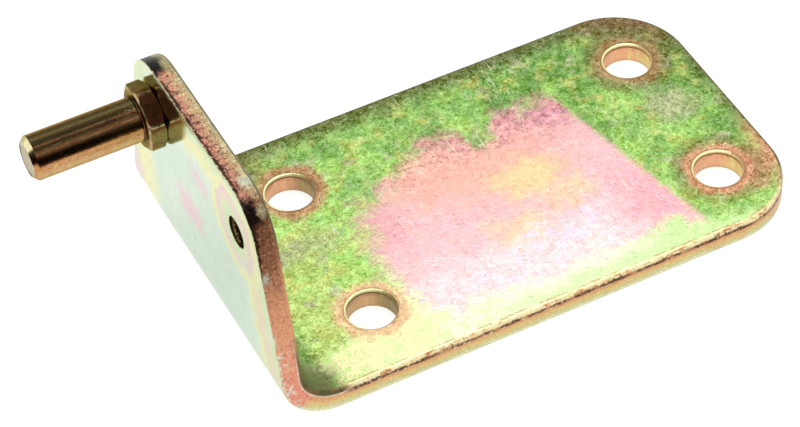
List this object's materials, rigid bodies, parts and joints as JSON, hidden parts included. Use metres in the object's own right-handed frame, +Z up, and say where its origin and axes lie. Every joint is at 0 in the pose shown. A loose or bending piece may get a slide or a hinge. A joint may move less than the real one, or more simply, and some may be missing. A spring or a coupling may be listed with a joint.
{
  "type": "hinge bracket",
  "caption": "Folded sheet hinge bracket: a long drilled base plate turned up into a tapered flange that carries a smooth hinge pin with a hexagon collar.",
  "frame": {"origin": "centre of the four fixing holes, on the underside of the base plate", "axes": "+X along the base plate, away from the flange; +Y across the plate, towards the side that carries the pin; +Z up along the flange"},
  "size_m": [0.0955, 0.0446, 0.0339],
  "materials": {
    "passivated_sheet": "yellow zinc passivated, mottled iridescent satin",
    "passivated_pin": "yellow zinc passivated, dark bronze gloss"
  },
  "bodies": {
    "root": {"bracket_plate": "passivated_sheet", "hinge_pin": "passivated_pin"}
  },
  "joints": []
}
